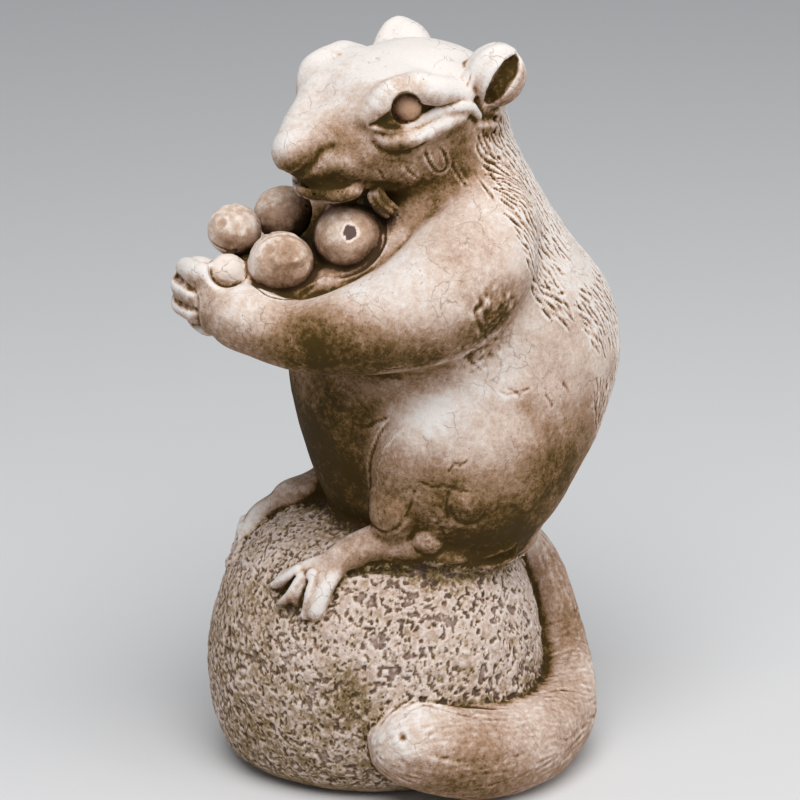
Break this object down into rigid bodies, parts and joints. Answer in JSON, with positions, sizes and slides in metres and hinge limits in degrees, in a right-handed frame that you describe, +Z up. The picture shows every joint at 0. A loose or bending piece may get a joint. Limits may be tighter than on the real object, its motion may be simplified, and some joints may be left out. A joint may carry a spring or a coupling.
{
  "type": "chipmunk garden statue",
  "caption": "Cast-stone garden ornament: a chipmunk sits on a pitted boulder, hugs a heap of nuts to its chest and curls its tail round the stone.",
  "frame": {"origin": "on the boulder's flat underside, near its middle, on the statue's midline", "axes": "+Z up; the animal faces -Y, so its left side is +X, where the tail lies"},
  "size_m": [0.1196, 0.1443, 0.2265],
  "materials": {
    "cast_stone": "weathered cast stone with a brown wash in its recesses",
    "pitted_stone": "pitted cast stone, pale ridges over dark pits",
    "nut_stone": "smooth cast stone with brown mottling",
    "eye_stone": "smooth cast stone with a darker brown wash"
  },
  "bodies": {
    "root": {"boulder": "pitted_stone", "torso": "cast_stone", "tail": "cast_stone", "left_haunch": "cast_stone", "right_haunch": "cast_stone", "left_arm": "cast_stone", "right_arm": "cast_stone", "left_foot": "cast_stone", "right_foot": "cast_stone", "left_paw": "cast_stone", "right_paw": "cast_stone", "nut_bed": "cast_stone", "head": "cast_stone", "lower_jaw": "cast_stone", "left_ear": "cast_stone", "right_ear": "cast_stone", "left_eye": "eye_stone", "right_eye": "eye_stone", "nut_1": "nut_stone", "nut_2": "nut_stone", "nut_3": "nut_stone", "nut_4": "nut_stone", "nut_5": "nut_stone"}
  },
  "joints": []
}
